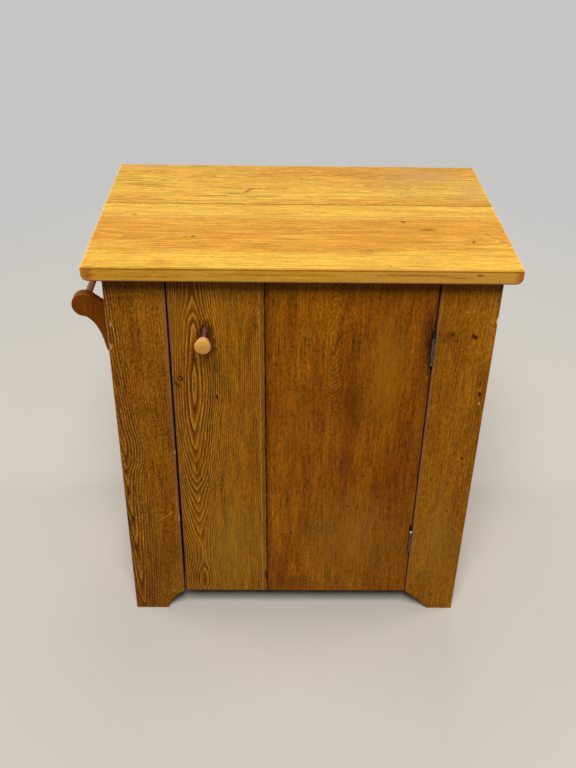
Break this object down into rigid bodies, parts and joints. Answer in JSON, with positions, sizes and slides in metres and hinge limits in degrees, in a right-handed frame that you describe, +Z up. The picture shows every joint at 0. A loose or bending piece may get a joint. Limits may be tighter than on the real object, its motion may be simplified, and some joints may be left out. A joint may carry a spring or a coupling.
{
  "type": "dry sink cabinet",
  "caption": "Low plank cabinet on sawn feet with a flat overhanging top, one plank door on butt hinges, a knob with an inner turn latch and a side towel rail.",
  "frame": {"origin": "on the floor, at the middle of the footprint of the whole part, knob and towel rail included", "axes": "+X to the right as the door is faced, +Y from the front towards the back, +Z up"},
  "size_m": [0.7394, 0.4984, 0.801],
  "materials": {
    "top_pine": "warm golden oil finish, worn pale at the edges",
    "case_pine": "amber varnish over open straight grain",
    "door_pine": "amber varnish over flame and straight grain",
    "inner_pine": "unfinished, aged",
    "bracket_wood": "red-brown stain and varnish",
    "rail_wood": "red-brown stain, worn",
    "knob_wood": "turned, golden varnish",
    "hinge_brass": "darkened with age",
    "latch_brass": "aged",
    "screw_steel": "dull",
    "nail_iron": "dark, punched below the surface"
  },
  "bodies": {
    "case": {"back_board_1": "inner_pine", "back_board_2": "inner_pine", "back_board_3": "inner_pine", "back_board_4": "inner_pine", "back_board_nails": "nail_iron", "bottom_shelf": "inner_pine", "cleat_screws": "screw_steel", "front_top_rail": "inner_pine", "front_towel_bracket": "bracket_wood", "left_side_panel": "case_pine", "left_stile": "case_pine", "left_top_cleat": "inner_pine", "lower_hinge_frame_leaf": "hinge_brass", "lower_hinge_frame_screws": "screw_steel", "lower_hinge_pin": "hinge_brass", "middle_shelf": "inner_pine", "rear_top_rail": "inner_pine", "rear_towel_bracket": "bracket_wood", "right_side_panel": "case_pine", "right_stile": "case_pine", "right_top_cleat": "inner_pine", "side_nails": "nail_iron", "stile_nails": "nail_iron", "top_front_board": "top_pine", "top_rear_board": "top_pine", "top_screws": "screw_steel", "towel_bracket_screws": "screw_steel", "towel_rail": "rail_wood", "upper_hinge_frame_leaf": "hinge_brass", "upper_hinge_frame_screws": "screw_steel", "upper_hinge_pin": "hinge_brass"},
    "door": {"door_narrow_board": "door_pine", "door_wide_board": "door_pine", "door_lower_batten": "inner_pine", "door_upper_batten": "inner_pine", "door_batten_screws": "screw_steel", "upper_hinge_door_leaf": "hinge_brass", "lower_hinge_door_leaf": "hinge_brass", "upper_hinge_door_screws": "screw_steel", "lower_hinge_door_screws": "screw_steel"},
    "latch": {"knob": "knob_wood", "spindle": "latch_brass", "spindle_collar": "latch_brass", "turn_bar_washer": "latch_brass", "turn_bar": "inner_pine", "turn_bar_nut": "latch_brass"}
  },
  "joints": [
    {"name": "door_swing", "type": "hinge", "parent": "case", "child": "door", "pos_m": [0.24095, -0.19225, 0.41125], "axis": [0, 0, 1], "range_deg": [0, 170]},
    {"name": "knob_turn", "type": "hinge", "parent": "door", "child": "latch", "pos_m": [-0.14875, -0.19075, 0.6725], "axis": [0, 1, 0], "range_deg": [0, 90]}
  ]
}
